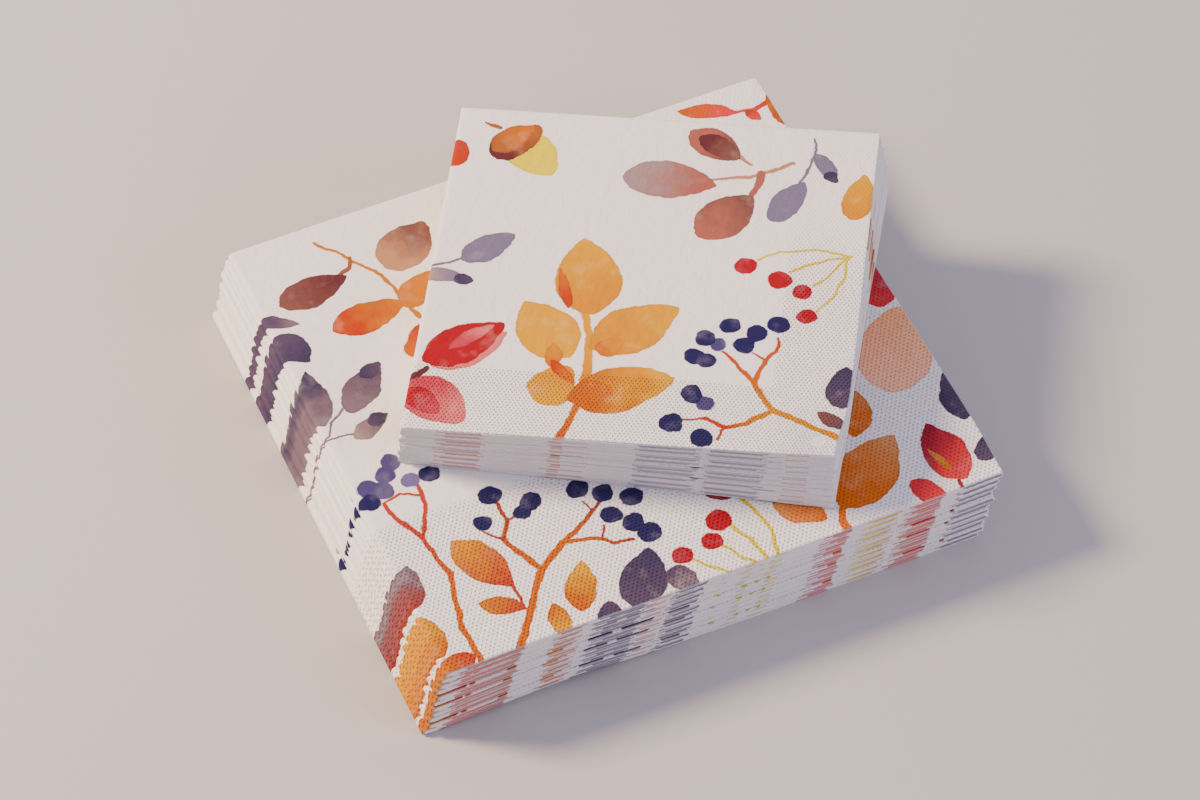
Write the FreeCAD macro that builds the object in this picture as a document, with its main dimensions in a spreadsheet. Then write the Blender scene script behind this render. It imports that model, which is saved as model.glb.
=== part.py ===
"""A small pile of cocktail napkins lying turned on a pile of lunch napkins.

Each napkin is one square sheet of three-ply tissue folded in half twice, so it is four leaves
thick. In its own frame the napkin lies flat about its middle plane: the first fold is along its
+Y side, where two leaves turn into each other, the second fold is along its -X side, where the
folded pair turns under itself, and the -Y and +X sides are the sheet's cut edges.

The part's frame has +Z up and X and Y along the sides of the lunch napkins. Its origin is the
centre of the bottom face of the lowest napkin, on the table. All sizes are in millimetres.
"""

import FreeCAD, Part
import math
import os

import Sketcher

V = FreeCAD.Vector

SIZES = {
    # one leaf of tissue, as thick as it stands in a loose pile, and the air beside it
    "leaf_thick": 0.55,
    "leaf_gap": 0.06,
    "fold_gap": 0.08,
    # the flat sheets, folded to a quarter
    "lunch_sheet": 330.0,
    "cocktail_sheet": 240.0,
    # the lower pile: how far its top napkin lies from its bottom one, and its unevenness
    "lunch_lean_x": 6.8,
    "lunch_lean_y": -1.7,
    "lunch_twist": 0.2,
    "lunch_wander": 0.35,
    # the upper pile: its place on the lower pile's top napkin, its turn and its own lean
    "pile_shift_x": 16.0,
    "pile_shift_y": 8.5,
    "pile_turn": -32.7,
    "cocktail_lean_x": -0.9,
    "cocktail_lean_y": -2.1,
    "cocktail_twist": 2.6,
    "cocktail_wander": 0.25,
    # how much of a pile's lean lies between the napkins inside it
    "inner_lean": 0.75,
}

LUNCH_COUNT = 11
COCKTAIL_COUNT = 9

# Angles in radians, for each napkin in turn, that keep the small shifts from repeating.
WANDER_X = 2.4
WANDER_Y = 3.7

# The second fold's outer radius, which is half of the folded napkin's thickness.
HALF_THICK = "(2 * Sizes.leaf_thick + Sizes.leaf_gap + Sizes.fold_gap / 2)"


def make_sheet(doc):
    """The spreadsheet of driving sizes."""
    sheet = doc.addObject("Spreadsheet::Sheet", "Sizes")
    for row, (alias, value) in enumerate(SIZES.items(), start=1):
        sheet.set(f"A{row}", alias)
        sheet.setAlias(f"B{row}", alias)
        sheet.set(f"B{row}", str(value))
    doc.recompute()
    return sheet


def origin_item(body, role):
    """One of the body's own origin planes or axes, by its role."""
    return next(item for item in body.Origin.OriginFeatures if item.Role == role)


def draw_pair(sketch, sheet, sheet_alias):
    """The section of the folded pair across the first fold: two leaves joined by a half round.

    It lies in the YZ plane above the napkin's middle plane, with the fold at +Y.
    """
    leaf = float(sheet.leaf_thick)
    slot = float(sheet.leaf_gap)
    low = float(sheet.fold_gap) / 2
    heights = [low, low + leaf, low + leaf + slot, low + 2 * leaf + slot]
    outside = leaf + slot / 2
    middle = low + outside
    side = float(sheet.get(sheet_alias)) / 4
    turn = side - outside

    def line(start, end):
        return sketch.addGeometry(Part.LineSegment(V(*start, 0), V(*end, 0)), False)

    def half_round(radius):
        circle = Part.Circle(V(turn, middle, 0), V(0, 0, 1), radius)
        return sketch.addGeometry(Part.ArcOfCircle(circle, -math.pi / 2, math.pi / 2), False)

    # the outline runs along the outside to the lower leaf's cut end, in along the slot between
    # the leaves, round the inside of the fold and back out to the upper leaf's cut end
    outer_top = line((-side, heights[3]), (turn, heights[3]))
    outer_turn = half_round(outside)
    outer_low = line((turn, heights[0]), (-side, heights[0]))
    low_cut = line((-side, heights[0]), (-side, heights[1]))
    inner_low = line((-side, heights[1]), (turn, heights[1]))
    inner_turn = half_round(slot / 2)
    inner_top = line((turn, heights[2]), (-side, heights[2]))
    top_cut = line((-side, heights[2]), (-side, heights[3]))

    shape = [
        ("Coincident", outer_low, 2, low_cut, 1),
        ("Coincident", low_cut, 2, inner_low, 1),
        ("Coincident", inner_top, 2, top_cut, 1),
        ("Coincident", top_cut, 2, outer_top, 1),
        ("Tangent", outer_top, 2, outer_turn, 2),
        ("Tangent", outer_low, 1, outer_turn, 1),
        ("Tangent", inner_low, 2, inner_turn, 1),
        ("Tangent", inner_top, 1, inner_turn, 2),
        ("Coincident", outer_turn, 3, inner_turn, 3),
        ("Horizontal", outer_top),
        ("Horizontal", outer_low),
        ("Horizontal", inner_low),
        ("Horizontal", inner_top),
        ("Vertical", low_cut),
        ("Vertical", top_cut),
        ("Vertical", low_cut, 1, top_cut, 2),
    ]
    for rule in shape:
        sketch.addConstraint(Sketcher.Constraint(*rule))

    outside_size = "Sizes.leaf_thick + Sizes.leaf_gap / 2"
    sized = {
        "above_middle": (("DistanceY", -1, 1, outer_low, 2, low), "Sizes.fold_gap / 2"),
        "cut_edge": (("DistanceX", low_cut, 1, -1, 1, side), f"Sizes.{sheet_alias} / 4"),
        "first_fold": (
            ("DistanceX", -1, 1, outer_turn, 3, turn),
            f"Sizes.{sheet_alias} / 4 - ({outside_size})",
        ),
        "fold_outside": (("Radius", outer_turn, outside), outside_size),
        "fold_inside": (("Radius", inner_turn, slot / 2), "Sizes.leaf_gap / 2"),
    }
    for name, (rule, expression) in sized.items():
        index = sketch.addConstraint(Sketcher.Constraint(*rule))
        sketch.renameConstraint(index, name)
        sketch.setExpression(f"Constraints.{name}", expression)


def fold_napkin(doc, sheet, name, sheet_alias):
    """One napkin about its own middle, as a body named for its node."""
    body = doc.addObject("PartDesign::Body", name)
    body.Label = name

    # the second fold turns about a line half the napkin's thickness in from the -X side
    section = body.newObject("Sketcher::SketchObject", f"{name}_pair")
    section.AttachmentSupport = [(origin_item(body, "YZ_Plane"), "")]
    section.MapMode = "FlatFace"
    section.setExpression("AttachmentOffset.Base.z", f"-Sizes.{sheet_alias} / 4 + {HALF_THICK}")
    draw_pair(section, sheet, sheet_alias)

    upper = body.newObject("PartDesign::Pad", f"{name}_upper_pair")
    upper.Profile = section
    upper.setExpression("Length", f"Sizes.{sheet_alias} / 2 - {HALF_THICK}")

    second_fold = body.newObject("PartDesign::Revolution", f"{name}_second_fold")
    second_fold.Profile = section
    second_fold.ReferenceAxis = (section, ["H_Axis"])
    second_fold.Angle = 180
    second_fold.Reversed = True
    doc.recompute()

    lower = body.newObject("PartDesign::Mirrored", f"{name}_lower_pair")
    lower.Originals = [upper]
    lower.MirrorPlane = (origin_item(body, "XY_Plane"), [""])
    body.Tip = lower
    return body


def lay_pile(doc, sheet, kind, count, start, turn):
    """A pile of napkins, bottom to top. Returns their bodies and the top one's place and turn.

    Start is the middle of the lowest napkin's bottom face, and turn its angle about Z. The
    napkins between the top and bottom ones keep closer to the middle of the pile's lean, and
    each lies a little off its line.
    """
    thick = 4 * float(sheet.leaf_thick) + 2 * float(sheet.leaf_gap) + float(sheet.fold_gap)
    lean = V(float(sheet.get(f"{kind}_lean_x")), float(sheet.get(f"{kind}_lean_y")), 0)
    twist = float(sheet.get(f"{kind}_twist"))
    wander = float(sheet.get(f"{kind}_wander"))
    inner_lean = float(sheet.inner_lean)
    bodies = []
    for index in range(count):
        name = f"{kind}_napkin_{index + 1:02d}"
        body = fold_napkin(doc, sheet, name, f"{kind}_sheet")
        height = index / (count - 1)
        shift = lean * height
        if 0 < index < count - 1:
            shift = lean * (0.5 + inner_lean * (height - 0.5))
            shift += V(math.sin(WANDER_X * index), math.cos(WANDER_Y * index), 0) * wander
        place = start + shift + V(0, 0, (index + 0.5) * thick)
        rotation = FreeCAD.Rotation(V(0, 0, 1), turn + twist * height)
        body.Placement = FreeCAD.Placement(place, rotation)
        bodies.append(body)
    return bodies, start + lean + V(0, 0, count * thick), turn + twist


def check(doc, bodies):
    """Stops if any object failed to build or any napkin is not one valid solid."""
    failed = [item.Label for item in doc.Objects if {"Invalid", "Error"} & set(item.State)]
    if failed:
        raise RuntimeError(f"failed to build: {failed}")
    for body in bodies:
        if body.Shape.isNull() or not body.Shape.isValid() or len(body.Shape.Solids) != 1:
            raise RuntimeError(f"{body.Label} is not one valid solid")


def main():
    doc = FreeCAD.newDocument("napkin_stack")
    sheet = make_sheet(doc)
    lunch, lunch_top, lunch_turn = lay_pile(doc, sheet, "lunch", LUNCH_COUNT, V(), 0)
    shift = V(float(sheet.pile_shift_x), float(sheet.pile_shift_y), 0)
    turn = lunch_turn + float(sheet.pile_turn)
    cocktail, _, _ = lay_pile(doc, sheet, "cocktail", COCKTAIL_COUNT, lunch_top + shift, turn)
    doc.recompute()
    bodies = lunch + cocktail
    check(doc, bodies)

    os.makedirs("parts", exist_ok=True)
    for body in bodies:
        body.Shape.exportStep(f"parts/{body.Label}.step")
        print(body.Label, round(body.Shape.Volume, 1), body.Shape.BoundBox)


main()
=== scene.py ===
"""A small pile of cocktail napkins lying turned on a pile of lunch napkins.

Each napkin starts as a flat square slab of tissue that carries its own flat coordinates. A
Geometry Nodes tree folds it in half twice, lays it in its pile and gives it the unevenness of
loose paper. The print is painted by small node groups, one brush each for a leaf, a berry and a
twig, in millimetres on the flat sheet, so it runs on round the folds and onto the cut edges.
"""

import math

import bpy
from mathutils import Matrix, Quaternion, Vector


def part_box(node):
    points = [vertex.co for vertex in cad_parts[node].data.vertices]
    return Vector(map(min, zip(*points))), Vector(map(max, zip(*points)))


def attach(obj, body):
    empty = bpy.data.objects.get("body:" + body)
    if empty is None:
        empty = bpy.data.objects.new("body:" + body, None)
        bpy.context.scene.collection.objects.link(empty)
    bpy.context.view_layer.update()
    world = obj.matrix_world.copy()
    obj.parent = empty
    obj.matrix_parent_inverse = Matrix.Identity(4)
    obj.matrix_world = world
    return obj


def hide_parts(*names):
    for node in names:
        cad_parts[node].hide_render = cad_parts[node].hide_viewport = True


bl_info = {
    "name": "Napkin Stack",
    "version": (1, 0, 0),
    "blender": (4, 5, 0),
    "location": "View3D > Sidebar > Napkins",
    "description": "Folded and printed paper napkins in two piles, one lying turned on the other",
    "category": "Object",
}

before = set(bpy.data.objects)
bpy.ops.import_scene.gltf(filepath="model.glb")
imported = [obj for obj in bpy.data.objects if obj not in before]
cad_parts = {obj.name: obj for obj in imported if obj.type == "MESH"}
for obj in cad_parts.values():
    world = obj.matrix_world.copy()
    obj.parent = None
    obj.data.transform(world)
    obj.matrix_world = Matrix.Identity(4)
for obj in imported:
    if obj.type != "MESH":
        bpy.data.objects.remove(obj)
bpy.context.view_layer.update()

MM = 0.001
PRINT_MAP = "sheet"
BAKE_MAP = "OFBake"
PLY_SIDE = "ply_side"

# --- The large sheet's print ---
#
# Places and sizes are millimetres from the middle of the folded napkin's top face, with X towards
# its cut edge and Y towards its first fold. What lies past the two folds shows on the napkin's
# other leaves. A print is painted in the order of its rows: twigs, then leaves, then berries.
#
# Twig: (points, width at the first, width at the last, first ink, last ink)
# Leaf: (x, y, long, wide, angle, ink at its foot, ink at its tip, sharpness of its ends)
# Berries: (ink, [(x, y, radius), ...])

LUNCH_TWIGS = [
    ([(-59, 76), (-52, 66), (-46, 56), (-43.5, 46), (-42, 37)], 0.9, 1.5, "apricot", "apricot"),
    ([(-58, 61), (-53, 63), (-51.5, 66)], 1.6, 1.2, "umber", "rust"),
    ([(-86, 4), (-81, 7), (-78.5, 11), (-74, 14.5)], 0.6, 0.9, "mauve", "mauve"),
    ([(-83, 6), (-75, 5)], 0.6, 0.8, "mauve", "mauve"),
    ([(-76.5, -22), (-74, -30), (-71, -37)], 1.3, 1.6, "coral", "coral"),
    ([(-65.5, -19), (-65.5, -27), (-68, -32), (-71, -37)], 1.2, 1.5, "coral", "coral"),
    ([(-76.5, -21.5), (-70.5, -20), (-66, -23)], 0.8, 0.9, "coral", "coral"),
    ([(-71, -37), (-70, -45), (-68.6, -52), (-71, -60)], 1.5, 1.7, "coral", "orange"),
    ([(-71, -60), (-72.6, -70), (-72, -90)], 1.7, 1.8, "orange", "orange"),
    ([(-48, -34), (-47.6, -41), (-51, -46.5), (-49.5, -52), (-46, -60)], 1.2, 1.9,
     "brick", "orange"),
    ([(-55.5, -42), (-51, -46.5)], 0.6, 1.0, "brick", "brick"),
    ([(-43, -41), (-47.6, -41)], 0.7, 0.8, "brick", "brick"),
    ([(-68, -92), (-55, -74), (-46, -60.5), (-36, -54.5)], 2.6, 2.0, "orange", "orange"),
    ([(-36, -54.5), (-29, -50.5), (-22.5, -46)], 2.0, 1.3, "orange", "brick"),
    ([(-35, -55.3), (-28, -57), (-24.5, -60.5), (-19, -61.5)], 1.6, 0.9, "orange", "brick"),
    ([(-26.5, -57.3), (-24.4, -54)], 0.8, 0.6, "brick", "brick"),
    ([(-25.5, -48), (-26.5, -44)], 0.7, 0.6, "brick", "brick"),
    ([(-56, -57), (-55, -63), (-54.8, -71)], 1.2, 0.9, "brick", "coral"),
    ([(-7.5, -74.5), (-3, -80), (6, -88)], 0.9, 1.1, "lime", "lime"),
    ([(1.5, -73.5), (5, -79), (11, -88)], 0.9, 1.1, "lime", "lime"),
    ([(6.5, -68), (10, -75), (11.5, -88)], 1.1, 1.2, "lime", "lime"),
    ([(11.5, -58), (15, -65), (16, -74), (13.5, -88)], 1.1, 1.2, "lime", "lime"),
    ([(34, -92), (35, -79), (38, -72), (56, -61)], 3.0, 0.8, "sienna", "sienna"),
    ([(69, -88), (70, -78)], 1.6, 1.0, "brick", "crimson"),
    ([(62, -19.5), (66, -23.5), (70, -25.5)], 1.3, 0.9, "sienna", "coral"),
    ([(72, 72), (77, 71), (82.5, 71.8)], 1.1, 1.8, "scarlet", "red_orange"),
    ([(-104, -88), (-104, -60), (-112, -38), (-118, -10), (-122, 22)], 2.2, 1.2, "orange", "rust"),
    ([(-204, -62), (-192, -30), (-180, 6), (-172, 40)], 2.2, 1.2, "rust", "orange"),
    ([(-150, -90), (-146, -62), (-152, -36)], 1.8, 1.0, "coral", "brick"),
]

LUNCH_LEAVES = [
    (-66, 58.8, 22, 11.5, 8, "umber", "maroon", 0.8),
    (-35.5, 64, 21, 15, 38, "tan", "umber", 0.7),
    (-55, 43.4, 23, 11, 4, "red_orange", "apricot", 0.7),
    (-38, 47, 16, 10, 35, "apricot", "apricot", 0.7),
    (-46.5, 29.5, 12, 5, 58, "orange", "red_orange", 0.7),
    (-79, 52, 13, 4.5, -32, "plum", "mauve", 0.9),
    (-78.8, 40.8, 14, 9.5, -68, "plum", "slate", 0.7),
    (-79.8, 20.8, 21, 8.5, 84, "mauve", "slate", 0.75),
    (-66, 19.6, 20, 10, 44, "mauve", "plum", 0.8),
    (-61.8, 24.6, 7, 5, 20, "slate", "plum", 0.7),
    (-69, 5.8, 13.5, 6.5, 22, "taupe", "plum", 0.8),
    (-66.5, 7.6, 6, 5, 35, "plum", "slate", 0.6),
    (-81.5, -52, 17, 10, 70, "brick", "mauve", 0.8),
    (-84.3, -53, 17, 2.2, 88, "maroon", "maroon", 0.6),
    (-82, -69, 17, 8, 97, "orange", "gold", 0.7),
    (-84.3, -70, 17, 1.8, 92, "red_orange", "coral", 0.6),
    (-78.5, -81.5, 12, 8, 20, "apricot", "red_orange", 0.7),
    (-59.4, -52.2, 23.5, 11.5, -66, "ochre", "coral", 0.85),
    (-60, -68, 13, 6.5, -28, "apricot", "coral", 0.85),
    (-38.3, -70.3, 17.5, 8.5, 66, "orange", "gold", 0.85),
    (-48, -78.5, 12, 6, 88, "gold", "orange", 0.8),
    (-22, -75, 21.5, 12.5, 58, "plum", "slate", 0.8),
    (-12.5, -79.5, 11, 7.5, -60, "plum", "mauve", 0.7),
    (-35, -82.5, 9, 7, 70, "slate", "plum", 0.6),
    (48.5, -66.5, 30, 17, 36, "sienna", "copper", 0.8),
    (26.2, -71, 16, 9.5, -48, "copper", "sienna", 0.75),
    (70.6, -69.3, 22.5, 13, 96, "scarlet", "crimson", 0.85),
    (68.2, -71.4, 11, 2.4, 106, "apricot", "copper", 0.85),
    (60.5, -80, 13, 7, -62, "scarlet", "scarlet", 0.8),
    (82.5, -52, 19, 10, 80, "slate", "plum", 0.7),
    (81.5, -73, 9, 6, 70, "plum", "slate", 0.6),
    (74, -30, 32, 21, 62, "peach", "salmon", 0.7),
    (54, -46.5, 17, 9, 66, "sienna", "copper", 0.7),
    (80, -6.5, 16, 11, 65, "scarlet", "rose", 0.7),
    (64.3, 75.4, 19, 5.5, -24, "orange", "scarlet", 0.9),
    (75.6, 68.8, 6, 3.6, -60, "coral", "scarlet", 0.7),
    (83, 67.5, 14, 5, 95, "red_orange", "orange", 0.6),
    (8, -57.6, 8, 3.2, -30, "crimson", "crimson", 0.7),
    # past the second fold, on the napkin's underside
    (-108, -62, 28, 15, 108, "gold", "orange", 0.8),
    (-126, -22, 26, 14, 128, "rust", "ochre", 0.8),
    (-104, 4, 25, 13, 62, "ochre", "coral", 0.8),
    (-132, 30, 24, 13, 118, "umber", "tan", 0.75),
    (-182, -48, 27, 15, 64, "slate", "plum", 0.8),
    (-200, 8, 27, 14, 108, "crimson", "brick", 0.8),
    (-164, 18, 25, 13, 48, "gold", "ochre", 0.8),
    (-168, 62, 25, 13, 92, "mauve", "plum", 0.8),
    (-214, 52, 22, 12, 40, "apricot", "red_orange", 0.75),
    (-222, -78, 20, 10, 8, "scarlet", "coral", 0.8),
    (-197, -83, 10, 8, 12, "magenta", "rose", 0.7),
    (-132, -82, 16, 9, 10, "slate", "violet", 0.7),
    (-97, -84, 22, 8, 4, "coral", "red_orange", 0.6),
    # across the first fold, on the pile's back
    (-58, 87, 18, 9.4, 4, "red_orange", "apricot", 0.7),
    (-21, 88, 14, 11.2, 8, "plum", "slate", 0.7),
    (13, 87, 17, 9.4, -5, "gold", "orange", 0.7),
    (47, 88, 12, 11.2, 0, "crimson", "brick", 0.7),
    (-107, 87, 16, 9.4, 3, "ochre", "coral", 0.7),
    (-141, 88, 15, 11.2, -6, "mauve", "plum", 0.7),
    (-179, 87, 18, 9.4, 5, "orange", "gold", 0.7),
    (-214, 88, 13, 11.2, 0, "umber", "rust", 0.7),
    # across the cut edges of the leaves inside the fold
    (-67, 248, 21, 9, 15, "scarlet", "coral", 0.6),
    (-46, 248, 9, 8, 0, "apricot", "scarlet", 0.6),
    (-31, 248, 14, 9, 10, "violet", "mauve_grey", 0.5),
    (-20, 248, 6, 8, 0, "scarlet", "blush", 0.5),
    (-11, 248, 10, 9, 0, "mauve_grey", "violet", 0.5),
    (6, 248, 3, 6, 0, "lime", "lime", 0.6),
    (15, 248, 4, 6, 0, "lime", "yellow", 0.6),
    (32, 248, 8, 8, 0, "magenta", "magenta", 0.5),
    (46, 248, 11, 8, 0, "yellow", "gold", 0.5),
    (59, 248, 11, 8, 0, "scarlet", "coral", 0.5),
    (76, 248, 13, 8, 0, "mauve_grey", "violet", 0.5),
    (82.5, 104, 15, 8, 90, "coral", "apricot", 0.6),
    (82.5, 137, 12, 8, 90, "gold", "yellow", 0.6),
    (82.5, 171, 17, 8, 90, "violet", "slate", 0.6),
    (82.5, 216, 14, 8, 90, "scarlet", "coral", 0.6),
    (-247.5, 34, 16, 8, 90, "rust", "ochre", 0.6),
    (-247.5, -24, 14, 8, 90, "lilac", "violet", 0.6),
    (-247.5, 120, 15, 8, 90, "orange", "coral", 0.6),
    (-247.5, 196, 16, 8, 90, "slate", "plum", 0.6),
    (-97, 248, 17, 8, 0, "coral", "scarlet", 0.6),
    (-119, 248, 6, 8, 0, "apricot", "coral", 0.6),
    (-135, 248, 11, 8, 0, "lilac", "violet", 0.5),
    (-154, 248, 8, 8, 0, "violet", "violet", 0.5),
    (-198, 248, 6, 8, 0, "magenta", "scarlet", 0.5),
    (-211, 248, 8, 8, 0, "gold", "yellow", 0.5),
    (-224, 248, 9, 8, 0, "scarlet", "apricot", 0.5),
    (-241, 248, 11, 8, 0, "lilac", "violet", 0.5),
]

LUNCH_BERRIES = [
    ("violet", [(-69, -8.6, 3.0), (-72, -12.2, 3.0), (-78, -15.3, 3.2), (-74.2, -17.2, 3.2)]),
    ("lilac", [(-66.2, -16.6, 2.7)]),
    ("indigo", [
        (-79.3, -19.6, 2.8), (-60.6, -16.9, 3.1), (-48.6, -31, 3.3), (-54, -39.4, 2.8),
        (-42.8, -40.3, 2.5), (-39.4, -37.8, 3.3), (-26, -39.2, 3.3), (-20.4, -43.6, 3.0),
        (-13.9, -48, 3.2), (-21.3, -51.4, 3.2), (-16.9, -56, 3.1), (-14.1, -61, 3.4),
    ]),
    ("red", [(-9.4, -72.2, 3.1), (0, -71.2, 2.9), (4.4, -65.3, 3.6)]),
]

# --- The small sheet's print, in the same way ---

COCKTAIL_TWIGS = [
    ([(-52, 54.5), (-48, 52.5)], 0.8, 1.5, "rust", "rust"),
    ([(14, 38.4), (25, 40), (31, 43), (36.5, 46.3)], 0.9, 1.5, "tan", "tan"),
    ([(27.8, 41), (27.5, 36.5), (25.8, 32.5)], 2.8, 1.5, "terracotta", "terracotta"),
    ([(20.8, 48.6), (25, 44.6)], 1.4, 0.8, "tan", "tan"),
    ([(42, 56.5), (42.5, 50), (40.5, 43), (38, 37)], 0.6, 1.0, "mauve_grey", "mauve_grey"),
    ([(-66, -2), (-60, -1.4), (-55, 0.4), (-50, 4)], 1.2, 0.7, "mauve", "mauve_grey"),
    ([(-61, -44.5), (-56, -39)], 3.0, 1.8, "maroon", "maroon"),
    ([(-16, -12), (-13.4, -21), (-12.4, -30), (-12.2, -38)], 1.6, 2.6, "gold", "ochre"),
    ([(-12.2, -38), (-14, -50), (-18.5, -66)], 2.4, 2.2, "ochre", "red_orange"),
    ([(30, 9), (36, 12.6), (46, 14), (56, 12.6)], 0.9, 0.9, "lime", "lime"),
    ([(39.5, 5.4), (46, 9.4), (54.6, 12)], 1.0, 0.9, "lime", "lime"),
    ([(46.5, 0.6), (50.4, 4.4), (55, 12)], 0.9, 0.8, "lime", "lime"),
    ([(48, -8.6), (52.4, -3.2), (54.7, 4), (55.4, 12.4)], 0.9, 0.9, "lime", "lime"),
    ([(64, -55), (49, -49), (39.5, -45)], 2.1, 1.9, "ochre", "ochre"),
    ([(39.5, -45), (36, -40), (33.6, -36)], 1.9, 1.7, "ochre", "orange"),
    ([(33.6, -36), (29, -31), (24.2, -25.6)], 1.5, 0.9, "orange", "coral"),
    ([(33.8, -35.6), (36, -27.5), (39, -22.5), (38.6, -19.4)], 1.6, 0.7, "orange", "coral"),
    ([(36, -27), (32.2, -25)], 1.0, 0.6, "rust", "coral"),
    ([(39.5, -45.2), (33, -50), (27.6, -52.2)], 1.8, 1.5, "ochre", "red_orange"),
    ([(27.6, -52.2), (22, -49.6), (15.6, -50.6)], 1.3, 0.7, "red_orange", "coral"),
    ([(27, -52.6), (25.6, -56.4)], 0.8, 0.7, "coral", "coral"),
    ([(-84, -44), (-92, -10), (-96, 30)], 1.8, 1.0, "orange", "rust"),
    ([(-142, -52), (-136, -12), (-128, 26)], 1.8, 1.0, "rust", "orange"),
]

COCKTAIL_LEAVES = [
    (-58.8, 42, 9.5, 8, 80, "red_orange", "coral", 0.55),
    (-36.8, 42.8, 18.5, 13.5, -48, "yellow", "yellow", 0.62),
    (-42.6, 47.8, 17.5, 11, 46, "maroon", "rust", 0.55),
    (-43.6, 49.0, 15, 8.2, 46, "rust", "amber", 0.6),
    (2.4, 37, 27, 13.8, -2, "taupe", "terracotta", 0.72),
    (14, 51.4, 18, 10.5, -30, "terracotta", "umber", 0.75),
    (15, 51, 13, 7, -30, "maroon", "umber", 0.65),
    (19.6, 24.6, 22, 14, 52, "terracotta", "umber", 0.75),
    (36.4, 31.6, 18.5, 8.5, 64, "mauve_grey", "mauve_grey", 0.7),
    (46.2, 45.6, 12, 5, -56, "mauve_grey", "mauve_grey", 0.7),
    (48, 42, 5, 3.6, -50, "slate", "plum", 0.55),
    (56.2, 34.8, 18, 9, 84, "ochre", "gold", 0.65),
    (-45, 7.3, 17.5, 9, 38, "mauve_grey", "mauve_grey", 0.7),
    (-56, -4.6, 15, 5, -6, "taupe", "mauve_grey", 0.7),
    (-50.4, -5.4, 5, 4.4, 0, "slate", "plum", 0.55),
    (-45.4, -30.6, 24, 11, 36, "blush", "blush", 0.75),
    (-47.2, -28.6, 26, 13, 38, "red", "red", 0.8),
    (-45.4, -26, 15, 4, 42, "rose", "blush", 0.8),
    (-51.6, -50, 21, 14.5, -36, "rose", "blush", 0.65),
    (-55, -50.2, 12, 7, -40, "red", "rose", 0.7),
    (-16, -1, 29.5, 18.5, 101, "ochre", "gold", 0.85),
    (-22, -5.8, 15.5, 3.4, 106, "red_orange", "amber", 0.8),
    (-25, -21.6, 24.5, 17, 128, "gold", "gold", 0.8),
    (-22, -30.8, 9, 5, 96, "amber", "ochre", 0.7),
    (-1, -19, 29, 16.5, 38, "ochre", "gold", 0.88),
    (-7, -26.6, 8, 6.4, 30, "amber", "ochre", 0.6),
    (-20.6, -41.4, 15.5, 12.6, 66, "gold", "ochre", 0.6),
    (-18.6, -36.8, 11, 3.4, -48, "red_orange", "amber", 0.7),
    (-2, -41.4, 30, 15.5, 20, "orange", "gold", 0.8),
    (-9.4, -43.2, 11, 8.5, 10, "orange", "amber", 0.55),
    (58.4, -35.4, 15, 10.5, 92, "plum", "slate", 0.7),
    (57, -47.6, 12, 4.2, -34, "umber", "plum", 0.8),
    # past the second fold, on the napkin's underside
    (-86, -38, 22, 12, 116, "gold", "orange", 0.75),
    (-98, -4, 21, 11, 68, "terracotta", "tan", 0.75),
    (-82, 28, 20, 11, 122, "rust", "ochre", 0.75),
    (-132, -30, 22, 12, 58, "slate", "mauve", 0.75),
    (-146, 12, 20, 11, 112, "red", "rose", 0.8),
    (-118, 34, 20, 10, 40, "gold", "yellow", 0.75),
    (-158, -55, 18, 9, 14, "violet", "lilac", 0.75),
    (-104, -58, 14, 8, 10, "coral", "apricot", 0.7),
    # across the first fold, on the pile's back
    (-38, 64, 14, 8.4, 4, "gold", "orange", 0.7),
    (-9, 64, 11, 8.4, -6, "violet", "slate", 0.7),
    (21, 64, 13, 8.4, 3, "coral", "brick", 0.7),
    (-84, 64, 12, 8.4, 0, "slate", "violet", 0.7),
    (-112, 64, 13, 8.4, -4, "scarlet", "coral", 0.7),
    (-147, 64, 14, 8.4, 5, "ochre", "gold", 0.7),
    # across the cut edges of the leaves inside the fold
    (-44, 180, 13, 6, 0, "blush", "rose", 0.5),
    (-17, 180, 4, 6, 0, "apricot", "sienna", 0.5),
    (13, 180, 17, 7, 0, "lilac", "mauve_grey", 0.5),
    (32, 180, 16, 7, 0, "mauve_grey", "lilac", 0.5),
    (49, 180, 7, 6, 0, "apricot", "blush", 0.5),
    (-77, 180, 10, 6, 0, "blush", "mauve", 0.5),
    (-132, 180, 15, 7, 0, "mauve_grey", "lilac", 0.5),
    (-151, 180, 14, 6, 0, "lilac", "violet", 0.5),
    (60, 92, 12, 6, 90, "gold", "orange", 0.6),
    (60, 121, 10, 6, 90, "coral", "blush", 0.6),
    (60, 152, 13, 6, 90, "lilac", "violet", 0.6),
    (-180, 22, 11, 6, 90, "rose", "coral", 0.6),
    (-180, -20, 12, 6, 90, "mauve", "lilac", 0.6),
    (-180, 98, 12, 6, 90, "apricot", "gold", 0.6),
]

COCKTAIL_BERRIES = [
    ("red", [(27, 6.4, 3.2), (37, 2.2, 3.3), (43.5, -2, 2.8), (45.6, -10.9, 2.8)]),
    ("indigo", [(24.9, -15.8, 2.9)]),
    ("violet", [(22.6, -23, 2.5)]),
    ("indigo", [
        (18.8, -20.9, 3.0), (32.6, -18.2, 3.1), (38.3, -14.4, 3.2), (29.6, -22.6, 3.1),
        (16.3, -28, 3.1), (19.6, -29, 2.7),
    ]),
    ("violet", [(21, -44.6, 2.7)]),
    ("indigo", [(17.2, -41.4, 3.2), (12.7, -52, 3.4), (21.4, -56.6, 3.2)]),
]

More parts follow.
